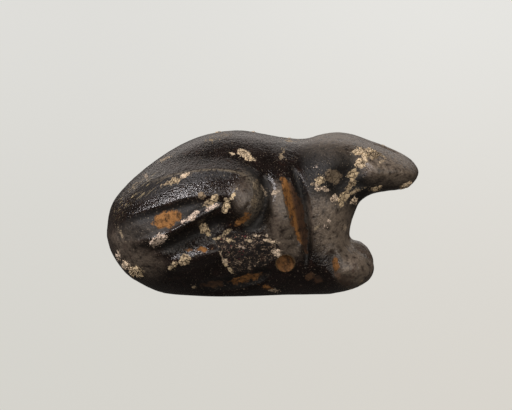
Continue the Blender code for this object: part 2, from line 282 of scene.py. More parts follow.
outline_rows = smooth_route(OUTLINE, closed=True)
OUTLINE_MAP = SideMap(lambda along, up: inset_from(outline_rows, along, up))
FLANK_MAP = SideMap(lambda along, up: relief(FLANK_MASSES, FLANK_STROKES, along, up))
FINE_MAP = SideMap(lambda along, up: relief([], FINE_STROKES, along, up))
print("flank relief from", FLANK_MAP.values.min().round(2), "to", FLANK_MAP.values.max().round(2), "parts")

# %% [markdown]
# ## From a block to the carved stone
# A block cut to the outline is filled with small even faces by voxel remeshing. Every vertex then
# slides onto the surface of the form, where the form's value is zero. Remeshing and sliding
# alternate from coarse to fine, which keeps the faces even. This could be sculpted by hand, but
# worked out this way it follows the named sizes.

# %% The form's value and the slide onto it
def seen_height(points):
    """Height on the side view, looked at a little from above."""
    return points[:, 2] * np.cos(SIGHT_RISE) - np.abs(points[:, 1]) * np.sin(SIGHT_RISE)


def middle_cuts(along, side, up):
    """Depth of the grooves that run along the middle of the frog."""
    start, end = BROW_GROOVE["ends"]
    stretch = bump((along - (start + end) / 2) / ((end - start) / 2))
    above = between(up, BROW_GROOVE["heights"])
    depth = BROW_GROOVE["depth"] * stretch * above * bump(side / BROW_GROOVE["half_width"])
    front = between(along, FRONT_STARTS)
    for cut in (CHEST_GROOVE, PAW_CLEFT):
        below = between(up, cut["heights"])
        depth += cut["depth"] * front * below * bump(side / cut["half_width"])
    return depth


def form_value(points):
    """Below zero inside the stone, zero on its surface; points are rows in parts."""
    along, across, up = points.T
    side = np.abs(across)
    seen_up = seen_height(points)
    inset = OUTLINE_MAP.at(along, up) - middle_cuts(along, side, up)
    share = station_value(FOOT_SHARES, along)
    taper = between(up, FOOT_TAPER)
    half_width = HALF_WIDTH * station_value(WIDTH_SHARES, along) * (share + (1 - share) * taper)
    half_width += FLANK_MAP.at(along, seen_up)
    half_width += np.where(across < 0, 1, FAR_FAINTNESS) * FINE_MAP.at(along, seen_up)
    edge = np.clip(1 - inset / station_value(ROUNDNESS, along), 0, None)
    return np.hypot(edge, side / half_width) - 1


def read_points(mesh):
    """The mesh's vertices as rows."""
    points = np.empty(len(mesh.vertices) * 3, np.float32)
    mesh.vertices.foreach_get("co", points)
    return points.reshape(-1, 3).astype(float)


def write_points(mesh, points):
    """Moves the mesh's vertices to the rows."""
    mesh.vertices.foreach_set("co", points.astype(np.float32).ravel())
    mesh.update()


SLOPE_STEP = 0.15
LEAST_STEEPNESS = 1e-6
LONGEST_MOVE = 2


def settle(mesh, rounds):
    """Moves every vertex of the mesh onto the surface of the form, by short moves."""
    points = read_points(mesh)
    for _ in range(rounds):
        value = form_value(points)
        slope = np.empty_like(points)
        for axis in range(3):
            shift = np.zeros(3)
            shift[axis] = SLOPE_STEP
            slope[:, axis] = (form_value(points + shift) - form_value(points - shift)) / (2 * SLOPE_STEP)
        steepness = np.maximum((slope ** 2).sum(axis=1), LEAST_STEEPNESS)
        move = -(value / steepness)[:, None] * slope
        reach = np.maximum(np.linalg.norm(move, axis=1) / LONGEST_MOVE, 1)
        points += move / reach[:, None]
    write_points(mesh, points)


# %% The block, remeshed and settled
VOXELS = (1.2, 0.7, 0.48)
FIRST_SETTLING = 6
SECOND_SETTLING = 2
EVENING = dict(factor=0.5, iterations=2)


def outline_block():
    """A block as wide as the frog, cut to its outline."""
    form = bmesh.new()
    face = form.faces.new([form.verts.new((along, -HALF_WIDTH, up)) for along, up in outline_rows])
    far = bmesh.ops.extrude_face_region(form, geom=[face])
    moved = [item for item in far["geom"] if isinstance(item, bmesh.types.BMVert)]
    bmesh.ops.translate(form, verts=moved, vec=(0, 2 * HALF_WIDTH, 0))
    bmesh.ops.triangulate(form, faces=form.faces[:])
    bmesh.ops.recalc_face_normals(form, faces=form.faces[:])
    mesh = bpy.data.meshes.new("outline_block")
    form.to_mesh(mesh)
    form.free()
    return mesh


def new_object(name, data):
    """A new object of the scene that holds the data."""
    result = bpy.data.objects.new(name, data)
    bpy.context.scene.collection.objects.link(result)
    return result


def evaluated_copy(holder):
    """The object's mesh with its modifiers applied; the object is removed."""
    graph = bpy.context.evaluated_depsgraph_get()
    result = bpy.data.meshes.new_from_object(holder.evaluated_get(graph))
    bpy.data.objects.remove(holder)
    return result


def modified(mesh, kind, **settings):
    """A new mesh: the given one with one modifier applied."""
    holder = new_object("holder", mesh)
    modifier = holder.modifiers.new(kind.title(), kind)
    for name, value in settings.items():
        setattr(modifier, name, value)
    return evaluated_copy(holder)


stone_mesh = outline_block()
for voxel in VOXELS:
    stone_mesh = modified(stone_mesh, "REMESH", mode="VOXEL", voxel_size=voxel)
    settle(stone_mesh, FIRST_SETTLING)
    stone_mesh = modified(stone_mesh, "SMOOTH", **EVENING)
    settle(stone_mesh, SECOND_SETTLING)
print(len(stone_mesh.vertices), "vertices on the carved form")

# %% [markdown]
# ## Where the crust, the earth and the dust lie
# Crust is a hard pale scab left from the ground, and earth is soft brown fill in the hollows. Each
# patch is an ellipse drawn on the flank that shows: its place, its half length and half width, its
# tilt in degrees, how thick it is as a share of the thickest, and its tone. The tone runs from
# pink-white at 0 through tan to olive at 1 for crust, and from orange to red-brown for earth.
# Outlines mark the recess full of earth and the eroded patch beside the string hole. Areas with a
# softness and a strength mark where a grey film of dust lies, which is also painted sheen where light
# catches it, and where the stone is painted near black and duller as painted shade.

# %% Patches on the flank that shows
CRUST_PATCHES = [
    (-5.6, 43.9, 2.9, 1.2, -28, 1, 0.4), (-9.8, 44.2, 0.8, 0.4, -10, 0.5, 0.4), (-25.2, 36.8, 1.5, 0.7, 22, 1, 0.3),
    (-27.8, 35.5, 1.8, 0.8, 22, 1, 0.7), (-30.4, 34.7, 1.6, 0.6, 18, 0.7, 0.8), (-31, 42.8, 1.4, 0.3, 32, 0.3, 0.4),
    (-33.3, 16.6, 3.2, 1.5, 30, 1, 0.1), (-22, 24.5, 2.6, 0.5, 32, 0.6, 0.1), (-16.6, 27, 1.8, 0.6, 26, 0.7, 0),
    (-17.2, 28.5, 1.9, 1.3, 30, 0.9, 0.8), (-15.3, 30.1, 1, 1.2, 80, 0.8, 0.6), (-19.1, 31, 1, 1, 0, 0.6, 1),
    (-11.7, 27.3, 2.4, 0.8, 64, 0.9, 0.5), (-9.5, 30.7, 1.5, 0.6, 52, 0.7, 0.5),
    (-11.7, 29.8, 0.8, 0.4, 20, 0.4, 0.6), (-18.6, 20.1, 1.8, 1, -52, 0.9, 0.5),
    (-2.4, 33.9, 1.9, 0.8, 84, 0.3, 0.9), (-2.7, 29.1, 1.7, 0.8, 88, 0.3, 0.9), (0.5, 32.3, 1, 0.3, -56, 0.4, 0.3),
    (4, 31.7, 1, 0.4, 10, 0.4, 0.3), (-24.9, 10.1, 2.1, 1.3, 26, 1, 0.7), (-28.6, 8.5, 1.6, 1, 30, 0.9, 0.6),
    (-43.6, 8.5, 1.6, 1.3, -30, 0.9, 0.3), (-40.4, 6.6, 2.3, 1.7, -30, 0.9, 0.5),
    (-46.1, 12.1, 1.3, 0.5, 86, 0.6, 0.2), (-45.5, 19.2, 1, 0.2, -60, 0.3, 0.6),
    (-37.1, 36.8, 0.8, 0.3, -48, 0.3, 0.3), (-41.3, 33.9, 1, 0.2, 44, 0.3, 0.5), (-22, 1.8, 0.7, 0.5, 20, 0.4, 0.6),
    (3.7, 0.5, 1.2, 0.4, -10, 0.4, 0.3), (-12.4, 10.5, 1.6, 0.5, -64, 0.8, 0.3),
    (-10.8, 7.6, 1.6, 0.5, -48, 0.6, 0.6), (-14.3, 17.2, 1, 0.4, 30, 0.5, 0.5),
    (-11.7, 18.8, 1.3, 0.5, 24, 0.5, 0.7), (-9.8, 16.3, 1.6, 0.5, -20, 0.5, 0.5), (-1.4, 18, 1.4, 0.4, 4, 0.6, 0.3),
    (2.1, 16.4, 1.8, 0.4, -16, 0.6, 0.3), (4.5, 12.6, 1.3, 1, -30, 0.5, 0.2), (-6.6, 14.3, 1, 0.3, -20, 0.4, 0.1),
    (-4.3, 16.6, 0.8, 0.3, 0, 0.4, 0.4), (-15.9, 48.4, 1.2, 0.4, 10, 0.5, 0.6), (-13, 50.3, 1.6, 0.3, 5, 0.25, 0.8),
    (8.5, 48.4, 1.4, 0.4, 4, 0.4, 0.4), (6.1, 44.2, 1, 0.3, 66, 0.4, 0.6), (7.2, 42.9, 0.8, 0.3, -40, 0.3, 0.4),
    (31.7, 44.9, 2.7, 1.1, 4, 1, 0.4), (35.5, 43.7, 1.9, 0.9, 16, 0.8, 0.9), (31.7, 41.3, 2.3, 1.6, 52, 1, 0.4),
    (28.6, 37.8, 2.1, 1.4, 44, 1, 0.6), (27.8, 33.9, 1.9, 0.9, 54, 0.8, 0.8), (25.6, 30.1, 2.4, 1.3, 34, 0.9, 0.7),
    (28.9, 29.4, 1.2, 1, 60, 1, 0.3), (23.2, 29.8, 1.4, 0.9, -16, 0.8, 0.2), (30.1, 32.5, 1.9, 0.6, 20, 0.6, 0.9),
    (25.2, 28.2, 1, 0.6, 10, 0.6, 0.6), (18.5, 35.7, 1.7, 1.5, 20, 0.8, 0.7), (19.1, 33, 2.1, 0.7, 4, 1, 0.2),
    (17, 34.3, 0.8, 0.7, 0, 0.9, 0.3), (22.3, 36.8, 2.1, 2.7, 80, 0.45, 1), (45.8, 34.1, 1.7, 0.9, 22, 0.7, 0.4),
    (36.8, 33.1, 1.6, 0.7, 14, 0.5, 0.7), (32.6, 33.3, 1, 0.3, 20, 0.4, 0.8), (37.9, 41.7, 1, 0.4, 50, 0.4, 0.4),
    (16.9, 40.1, 0.5, 0.3, 0, 0.4, 0), (19.9, 21.4, 0.8, 1.1, 80, 0.6, 0.1), (21.2, 22.8, 0.6, 0.5, 30, 0.6, 0.1),
    (16.9, 20.4, 0.7, 0.3, 20, 0.3, 0.7), (26, 20.4, 0.5, 0.7, 0, 0.3, 0.3), (28.8, 1.3, 1.5, 0.2, 34, 0.3, 0.5),
]
EARTH_PATCHES = [
    (-30.4, 23.3, 4.4, 2.4, 18, 1, 0), (-6.3, 23.3, 3, 1.1, 36, 1, 0.15), (-19.8, 13.7, 2.7, 0.6, 3, 0.8, 0.15),
    (-5, 4.4, 4.8, 1.1, 14, 0.9, 0.4), (-15.6, 2.6, 3.2, 1, 4, 0.5, 0.7), (1.3, 1.6, 1.6, 0.6, -20, 0.8, 0.2),
    (23.2, 8.9, 2.1, 1, -78, 0.8, 0.4), (24, 5.3, 1.6, 0.6, -60, 0.5, 0.6), (29.4, 7.9, 1.7, 0.8, 80, 0.5, 0.9),
    (30.4, 6.8, 1.9, 0.5, 4, 0.4, 0.9), (32, 13.4, 4.7, 1, -38, 0.45, 0.75), (15, 5.2, 1.9, 1.2, 40, 0.5, 0.6),
    (17.8, 3.8, 1.5, 1.3, -30, 0.5, 0.75), (26.8, 3.4, 2.6, 1.6, -20, 0.4, 0.9),
    (-43.9, 14.2, 1.1, 0.7, 60, 0.4, 1), (-0.2, 10.5, 1, 0.8, 0, 0.5, 1), (-13, 50, 3.9, 1.3, 4, 0.15, 0.7),
]
RECESS_OUTLINE = [(5.6, 36.6), (8.6, 35), (11.4, 31), (13.2, 26), (14, 20), (14.2, 12.6), (12, 15.6), (10, 20),
                  (8, 26.6), (6.4, 31.6)]
PATCH_OUTLINE = [(-15, 17.5), (-7.2, 18.6), (3.1, 16.6), (5.3, 12.7), (1, 8.6), (-8.8, 6.3), (-12.6, 11.4)]
# Dust film areas; the film is also painted sheen on the forward faces and the head top
DUST_AND_SHEEN_AREAS = [
    ([(3.6, 34), (6.9, 34), (8.8, 27.8), (12, 13.4), (7.2, 11.4), (2, 16.6), (3, 27.8)], 2.5, 0.62),
    ([(15.9, 29), (23.3, 29), (28.8, 24.6), (28.1, 17), (24.9, 14), (18.5, 14), (15.9, 19.8)], 3.5, 0.95),
    ([(33.9, 42.9), (42.6, 42.9), (49, 39.7), (48.1, 35.9), (41.6, 35.2), (34.6, 36.5)], 3.5, 0.9),
    ([(-9.8, 32.7), (-5.6, 35.2), (-2.1, 32), (-3.4, 26.2), (-7.2, 24.9)], 2, 0.4),
    ([(-47.4, 22.4), (-36.2, 22.4), (-24.9, 24.6), (-31.4, 19.1), (-39.4, 16.6), (-47.4, 16.6)], 2, 0.15),
    ([(28.1, 15.9), (35.2, 11.8), (37, 6.9), (31.4, 2), (25, 4), (25.6, 13.4)], 3, 0.9),
    ([(-48.4, 18.2), (-41, 15), (-33, 9.5), (-36.2, 5.3), (-44.2, 9.5)], 4, 0.65),
    ([(16, 53), (28, 54), (44.2, 46), (49, 41), (40, 42.6), (27, 46), (17, 47.6)], 8, 0.75),
]
# Painted shade: these areas, like the narrow grooves, are painted near black and made duller
PAINTED_SHADE_AREAS = [
    ([(-46, 20.6), (-38, 23), (-29, 25.4), (-21, 27.4), (-17, 28.4), (-19, 26), (-25, 22.4), (-31.4, 19.4),
      (-38, 17.2), (-46, 16.4)], 1, 0.8),
    ([(-6, 40), (-1.4, 37), (1.4, 30), (0, 24), (-3, 20), (-6, 20.4), (-2.4, 27), (-3, 34)], 1.5, 0.8),
    ([(13, 45), (22, 46), (30, 41), (33, 32), (28, 27), (21, 30), (15, 33)], 4, 0.9),
    ([(-40, 33.6), (-34, 36.4), (-27, 38.4), (-19, 39.4), (-12, 39.2), (-10, 36), (-16, 35.6), (-24, 34.4),
      (-32, 31.6), (-40, 28.6)], 1.5, 0.5),
]
print(len(CRUST_PATCHES), "crust patches,", len(EARTH_PATCHES), "earth patches,", len(DUST_AND_SHEEN_AREAS), "dusted areas")

# %% How deep each vertex lies inside a patch
OUTSIDE = -9.0
NEAR_EDGE = 2
FAR_PATCHES = 34
FAR_SEED = 7
FAR_START = dict(across=4, up=3)
FAR_RADII = (0.4, 1.8)
FAR_THICKNESSES = (0.4, 0.9)
FAR_TONES = (0.1, 0.9)


def patch_depth(points, patch):
    """Distance inside a tilted ellipse on the near flank, above zero inside."""
    along, up, half_length, half_width, tilt, _, _ = patch
    turn = np.radians(tilt)
    across = points[:, 0] - along
    rise = seen_height(points) - up
    run = across * np.cos(turn) + rise * np.sin(turn)
    drift = rise * np.cos(turn) - across * np.sin(turn)
    ring = np.hypot(run / half_length, drift / half_width)
    return np.where(points[:, 1] < NEAR_EDGE, (1 - ring) * min(half_length, half_width), OUTSIDE)


def add_patch(gathered, inside, thickness, tone):
    """Depth, thickness and tone with one more patch, which wins wherever it lies deeper."""
    best = inside > gathered[0]
    return [np.where(best, new, old) for new, old in zip((inside, thickness, tone), gathered)]


def gather(points, patches):
    """For all patches together: depth inside the nearest, its thickness and its tone."""
    gathered = [np.full(len(points), OUTSIDE), np.zeros(len(points)), np.zeros(len(points))]
    for patch in patches:
        gathered = add_patch(gathered, patch_depth(points, patch), *patch[5:])
    return gathered


def add_far_patches(points, gathered):
    """Scatters a few seeded round patches over the far flank."""
    chance = np.random.default_rng(FAR_SEED)
    hidden = np.flatnonzero((points[:, 1] > FAR_START["across"]) & (points[:, 2] > FAR_START["up"]))
    for _ in range(FAR_PATCHES):
        centre = points[chance.choice(hidden)]
        inside = chance.uniform(*FAR_RADII) - np.linalg.norm(points - centre, axis=1)
        gathered = add_patch(gathered, inside, chance.uniform(*FAR_THICKNESSES), chance.uniform(*FAR_TONES))
    return gathered


def within(edge, points):
    """Distance inside a named outline on the flank that shows, above zero inside."""
    rows = smooth_route(edge, closed=True)
    inset = inset_from(rows, points[:, 0], seen_height(points))
    return np.where(points[:, 1] < 0, inset, OUTSIDE)


form_points = read_points(stone_mesh)
seen_up = seen_height(form_points)
crust, crust_thickness, crust_tone = add_far_patches(form_points, gather(form_points, CRUST_PATCHES))
earth, earth_thickness, earth_tone = gather(form_points, EARTH_PATCHES)
recess = within(RECESS_OUTLINE, form_points)
rough = within(PATCH_OUTLINE, form_points)
print(int((crust > 0).sum()), "vertices in crust,", int((rough > 0).sum()), "in the eroded patch")

# %% Earth in the recess, orange at its rear edge and dark in front of a leaning border
RECESS_TONES = (0.26, 0.88)
RECESS_THICKNESS = 0.75
BORDER_PLACE = (8.5, 30)
BORDER_STEEPNESS = 4.6
BORDER_WIDTH = 1.6
past_border = form_points[:, 0] - BORDER_PLACE[0] + (seen_up - BORDER_PLACE[1]) / BORDER_STEEPNESS
recess_tone = RECESS_TONES[0] + (RECESS_TONES[1] - RECESS_TONES[0]) * ease(past_border / BORDER_WIDTH)
earth, earth_thickness, earth_tone = add_patch((earth, earth_thickness, earth_tone), recess, RECESS_THICKNESS,
                                               recess_tone)
print(int((earth > 0).sum()), "vertices in earth")

# %% [markdown]
# ## Wear, pits and the flat underside
# The stone isn't perfectly smooth: tiny pits catch the light, the patch beside the string hole is
# eroded into small lumps, and long scratches run along the haunch. The vertices move along their
# normals by small seeded amounts. Then the underside is cut flat and the string hole drilled.

# %% Small unevenness of the surface
PIT_DEPTH = 0.07
PIT_SIZES = (0.9, 2.2)
LUMP_DEPTH = 0.55
LUMP_SIZES = (1.1, 2.3)
WIDE_LUMP_SHARE = 0.6
LUMP_LEVEL = 1.1
LUMP_BORDER = (-0.6, 1)
normals = np.empty(len(stone_mesh.vertices) * 3, np.float32)
stone_mesh.vertices.foreach_get("normal", normals)
normals = normals.reshape(-1, 3).astype(float)
pits = PIT_DEPTH * (grain(form_points, PIT_SIZES[0], 1) + grain(form_points, PIT_SIZES[1], 2) - 1)
lumps = grain(form_points, LUMP_SIZES[0], 3) + WIDE_LUMP_SHARE * grain(form_points, LUMP_SIZES[1], 4)
lumps -= LUMP_LEVEL
lumps *= LUMP_DEPTH * between(rough, LUMP_BORDER)
write_points(stone_mesh, form_points + (pits + lumps)[:, None] * normals)
print("lumps up to", round(float(lumps.max() * PART * 1000), 3), "mm")

# %% Store what the materials read
EDGE_SOFTNESS = 3
RUMP = (-30, -38)
KNEE_WEAR_START = (-9, -5)
RIM_WEAR_HIGHLIGHT = dict(width=0.6, strength=0.8)
KNEE_WEAR_HIGHLIGHT = dict(width=2.4, strength=0.5)
SCRATCHED_WIDTH = 4
SIDEWAYS = 14
NARROW = 5
DEEP = 2


def store(mesh, name, values):
    """Keeps one value for each vertex under a name that materials can read."""
    attribute = mesh.attributes.new(name, "FLOAT", "POINT")
    attribute.data.foreach_set("value", values.astype(np.float32))


def share(depth):
    """Half at the edge of a patch, 1 well inside it and 0 well outside."""
    return np.clip(0.5 + depth / EDGE_SOFTNESS, 0, 1)


def read_here(masses, strokes):
    """The relief of the given masses and strokes at each vertex of the stone."""
    return SideMap(lambda along, up: relief(masses, strokes, along, up)).at(form_points[:, 0], seen_up)


# The rim and knee bands are partly real wear and partly a painted highlight along the rim's crest
rim_distance, _ = nearest_on(smooth_route(HAUNCH_RIM), form_points[:, 0], seen_up)
on_rump = between(form_points[:, 0], RUMP)
on_knee = between(form_points[:, 0], KNEE_WEAR_START)
rim_wear_highlight = RIM_WEAR_HIGHLIGHT["strength"] * bump(rim_distance / RIM_WEAR_HIGHLIGHT["width"])
knee_wear_highlight = KNEE_WEAR_HIGHLIGHT["strength"] * bump(rim_distance / KNEE_WEAR_HIGHLIGHT["width"]) * on_knee
# The hollow share is painted shade: the narrow grooves and the shade areas are painted near black and duller
grooves = [stroke for stroke in FLANK_STROKES if stroke[1] < NARROW and stroke[2] < 0]
carved_in = np.clip(-read_here([], grooves) / DEEP, 0, 1)
stored_values = dict(
    crust=share(crust), crust_tone=crust_tone, crust_thickness=crust_thickness,
    earth=share(earth), earth_tone=earth_tone, earth_thickness=earth_thickness, rough=share(rough),
    wear_and_highlight=np.maximum(rim_wear_highlight, knee_wear_highlight) * (1 - on_rump),
    scratched=bump(rim_distance / SCRATCHED_WIDTH) * on_rump * ease(np.abs(form_points[:, 1]) / SIDEWAYS),
    hollow=np.clip(carved_in + read_here(PAINTED_SHADE_AREAS, []), 0, 1),
    dust_and_sheen=np.clip(read_here(DUST_AND_SHEEN_AREAS, []), 0, 1),
)
for name, values in stored_values.items():
    store(stone_mesh, name, values)
print("stored", ", ".join(stored_values))

# %% Cut the underside flat, then size the stone
def cut_flat(mesh):
    """Cuts the underside flat at zero height and closes it with one face."""
    form = bmesh.new()
    form.from_mesh(mesh)
    everything = form.verts[:] + form.edges[:] + form.faces[:]
    cut = bmesh.ops.bisect_plane(form, geom=everything, plane_co=(0, 0, 0), plane_no=(0, 0, -1), clear_outer=True)
    rim = [item for item in cut["geom_cut"] if isinstance(item, bmesh.types.BMEdge)]
    bmesh.ops.contextual_create(form, geom=rim)
    bmesh.ops.triangulate(form, faces=[face for face in form.faces if len(face.verts) > 3])
    bmesh.ops.recalc_face_normals(form, faces=form.faces[:])
    form.to_mesh(mesh)
    form.free()


cut_flat(stone_mesh)
stone_points = read_points(stone_mesh)
low, high = stone_points.min(axis=0), stone_points.max(axis=0)
MIDDLE = (low + high) / 2
SCALE = LENGTH / (high[0] - low[0])
write_points(stone_mesh, (stone_points - (MIDDLE[0], MIDDLE[1], low[2])) * SCALE)
print("stone measures", (np.ptp(stone_points, axis=0) * SCALE * 1000).round(2), "mm")

# %% [markdown]
# ## The string hole
# A drill left a round hole straight across the frog. A cylinder cuts it with an exact Boolean, and
# the attributes stay on the rest of the stone.

# %% Drill the hole
HOLE_SIDES = 48
HOLE_X = (HOLE_PLACE[0] - MIDDLE[0]) * SCALE
HOLE_Z = HOLE_PLACE[1] * SCALE


def rod(name, radius, depth, sides):
    """A closed rod across the frog on the hole's axis."""
    form = bmesh.new()
    bmesh.ops.create_cone(form, cap_ends=True, segments=sides, radius1=radius, radius2=radius, depth=depth)
    mesh = bpy.data.meshes.new(name)
    form.to_mesh(mesh)
    form.free()
    mesh.transform(Matrix.Rotation(np.pi / 2, 4, "X"))
    mesh.transform(Matrix.Translation((HOLE_X, 0, HOLE_Z)))
    return new_object(name, mesh)


drill = rod("drill", HOLE_RADIUS * PART, LENGTH, HOLE_SIDES)
stone_mesh = modified(stone_mesh, "BOOLEAN", operation="DIFFERENCE", solver="EXACT", object=drill)
bpy.data.objects.remove(drill)
stone_mesh.shade_smooth()
stone_mesh.name = "carved_stone"
stone = new_object("carved_stone", stone_mesh)
print(len(stone_mesh.polygons), "faces after drilling")

# %% [markdown]
# ## One function for all nodes
# Materials and growing patches are both built from nodes. One small function adds a node, sets
# its properties, sets or links its inputs and gives back an output. Colours are written as sRGB
# hex codes and turned to the linear values that shaders use.

# %% Helpers for colours and nodes
MM = 0.001
NOISE, MIX, RANGE, MATH = "ShaderNodeTexNoise", "ShaderNodeMix", "ShaderNodeMapRange", "ShaderNodeMath"
STORED, VECTOR, VORONOI = "ShaderNodeAttribute", "ShaderNodeVectorMath", "ShaderNodeTexVoronoi"
SOFT = dict(interpolation_type="SMOOTHSTEP")
COLOURS = dict(give=2, data_type="RGBA")


def colour(hex_code):
    """Linear colour of an sRGB hex code."""
    parts = [int(hex_code[i:i + 2], 16) / 255 for i in (1, 3, 5)]
    return [c / 12.92 if c <= 0.04045 else ((c + 0.055) / 1.055) ** 2.4 for c in parts] + [1]


def add_node(tree, kind, inputs=None, give=0, **settings):
    """Adds a node, sets its properties, sets or links its inputs, and gives back one output."""
    node = tree.nodes.new(kind)
    for name, value in settings.items():
        setattr(node, name, value)
    for name, value in (inputs or {}).items():
        if isinstance(value, bpy.types.NodeSocket):
            tree.links.new(value, node.inputs[name])
        else:
            node.inputs[name].default_value = value
    return node.outputs[give] if len(node.outputs) else None


def new_material(name):
    """An empty node material."""
    material = bpy.data.materials.new(name)
    material.use_nodes = True
    material.node_tree.nodes.clear()
    return material


def grains(tree, where, size_mm, detail=3, stretch=(1, 1, 1), turn=0):
    """Noise in lumps of a real size in millimetres, stretched and turned in the side view."""
    place = add_node(tree, "ShaderNodeMapping", {"Vector": where, "Rotation": (0, turn, 0)})
    place = add_node(tree, "ShaderNodeMapping", {"Vector": place, "Scale": stretch})
    return add_node(tree, NOISE, {"Vector": place, "Scale": 1 / (size_mm * MM), "Detail": detail})


# %% [markdown]
# ## The colours of the dirt
# The crust is lime that hardened in flakes, so it is painted as flakes of uneven shade with dark
# cracks between them, under a fine powder. The earth is fine silt that dried in the hollows, so it
# is painted as crumbs in soft clouds. Each vertex's tone picks the colour between the named ones.

# %% Flakes, and the colours of crust and earth by tone
FLAKE = 0.36 * MM
FLAKE_WANDER = 1.4
CRACK = 0.09
POWDER_MM = 0.1
CLOUD_OF_EARTH_MM = 0.25
CRUMB_MM = 0.09
CRUMB_SHARE = 0.5
CRUST_TONES = (("#fbe6d6", 0), ("#fbe3ba", 0.5), ("#a08e75", 1))
CRUST_GAP = "#3c2d20"
EARTH_TONES = (("#a97846", 0), ("#956737", 0.3), ("#6a4c31", 0.6), ("#3c2920", 1))
EARTH_GAP = "#22170e"


def flakes(tree, where):
    """Uneven flakes of a real size: each one's own shade, and a value that falls to 0 in the cracks."""
    wander = add_node(tree, NOISE, {"Vector": where, "Scale": 1 / FLAKE, "Detail": 3.0}, give="Color")
    wander = add_node(tree, VECTOR, {0: wander, 1: (0.5, 0.5, 0.5)}, operation="SUBTRACT")
    place = add_node(tree, VECTOR, {0: wander, 1: (FLAKE_WANDER * FLAKE,) * 3, 2: where}, operation="MULTIPLY_ADD")
    shade = add_node(tree, VORONOI, {"Vector": place, "Scale": 1 / FLAKE}, give="Color")
    shade = add_node(tree, "ShaderNodeSeparateXYZ", {0: shade})
    edge = add_node(tree, VORONOI, {"Vector": place, "Scale": 1 / FLAKE}, feature="DISTANCE_TO_EDGE")
    return shade, add_node(tree, RANGE, {0: edge, 1: 0.0, 2: CRACK}, **SOFT)


def by_tone(tree, tone_name, tones):
    """Colour of a dirt at its stored tone."""
    tone = add_node(tree, STORED, give="Fac", attribute_name=tone_name)
    base = add_node(tree, "ShaderNodeValToRGB", {"Fac": tone})
    stops = base.node.color_ramp.elements
    while len(stops) < len(tones):
        stops.new(0.5)
    for stop, (hex_code, position) in zip(stops, tones):
        stop.position = position
        stop.color = colour(hex_code)
    return base


def crust_colour(tree, where):
    """Chalky flakes of uneven shade with dark gaps between them."""
    shade, solid = flakes(tree, where)
    lit = add_node(tree, RANGE, {0: shade, 1: 0.1, 2: 0.6, 3: 0.76, 4: 1.0})
    powder = grains(tree, where, POWDER_MM, 4)
    powder = add_node(tree, RANGE, {0: powder, 1: 0.36, 2: 0.52, 3: 0.68, 4: 1.0})
    for shadow in (powder, solid):
        lit = add_node(tree, MATH, {0: lit, 1: shadow}, operation="MULTIPLY")
    tone = by_tone(tree, "crust_tone", CRUST_TONES)
    return add_node(tree, MIX, {0: lit, 6: colour(CRUST_GAP), 7: tone}, **COLOURS)


def earth_colour(tree, where):
    """Fine brown crumbs in soft darker and lighter clouds that run down the recess."""
    clouds = grains(tree, where, CLOUD_OF_EARTH_MM, 4, (0.6, 1, 1), -1.2)
    level = add_node(tree, MATH, {0: grains(tree, where, CRUMB_MM), 1: CRUMB_SHARE, 2: clouds},
                     operation="MULTIPLY_ADD")
    lit = add_node(tree, RANGE, {0: level, 1: 0.52, 2: 0.86, 3: 0.15, 4: 1.0}, **SOFT)
    tone = by_tone(tree, "earth_tone", EARTH_TONES)
    return add_node(tree, MIX, {0: lit, 6: colour(EARTH_GAP), 7: tone}, **COLOURS)


print(len(CRUST_TONES), "crust tones and", len(EARTH_TONES), "earth tones")

# %% [markdown]
# ## Crust that stands on the stone
# The crust is lime and silt that hardened on the stone in the ground. It is brittle and chalky, so
# it is matt and grainy, and it stands a little proud. Its patches are grown from the stone's own
# surface by Geometry Nodes: the faces inside a patch are kept, split finer, lifted by an uneven
# height that sinks below the stone at the edge, and closed underneath.

# %% Materials of crust and earth
DIRT_IOR = 1.45
DIRT_ROUGHNESS = 0.95


def dirt_material(name, paint, crumb_mm, relief_mm):
    """Matt, crumbly dirt painted by the given function."""
    material = new_material(name)
    tree = material.node_tree
    where = add_node(tree, "ShaderNodeTexCoord", give="Object")
    crumbs = grains(tree, where, crumb_mm)
    surface = add_node(tree, "ShaderNodeBsdfPrincipled", {
        "Base Color": paint(tree, where), "Roughness": DIRT_ROUGHNESS, "IOR": DIRT_IOR,
        "Normal": add_node(tree, "ShaderNodeBump", {"Distance": relief_mm * MM, "Height": crumbs})})
    add_node(tree, "ShaderNodeOutputMaterial", {"Surface": surface})
    return material


# Lime that hardened from ground water: brittle, chalky and without any shine
crust_material = dirt_material("chalky_lime_crust", crust_colour, 0.12, 0.08)
# Silt pressed in wet and dried: fine, dull crumbs that drink the light
earth_material = dirt_material("packed_brown_earth", earth_colour, 0.1, 0.06)
print("materials", crust_material.name, "and", earth_material.name)

# %% The tree that grows a patch
LUMP_DETAIL = 4.0
LUMP_ROUGHNESS = 0.65
CRUST_LUMP = 0.5 * MM
CRUST_SEED = 3.0
CRUST_RAGGED = 1.5
EARTH_LUMP = 0.45 * MM
EARTH_SEED = 11.0
EARTH_RAGGED = 1.3
SEAL = 1e-7
FULL_SWELL = 0.66
LUMP_SWING = 1.6
FLAKE_SWING, FLAKE_BASE = 0.7, 0.5


def new_geometry_tree(name, inputs):
    """A geometry tree with named inputs, and the sockets that carry them."""
    tree = bpy.data.node_groups.new(name, "GeometryNodeTree")
    tree.interface.new_socket("Geometry", in_out="OUTPUT", socket_type="NodeSocketGeometry")
    for label, kind in (("Geometry", "Geometry"), *inputs):
        tree.interface.new_socket(label, in_out="INPUT", socket_type="NodeSocket" + kind)
    return tree, tree.nodes.new("NodeGroupInput").outputs


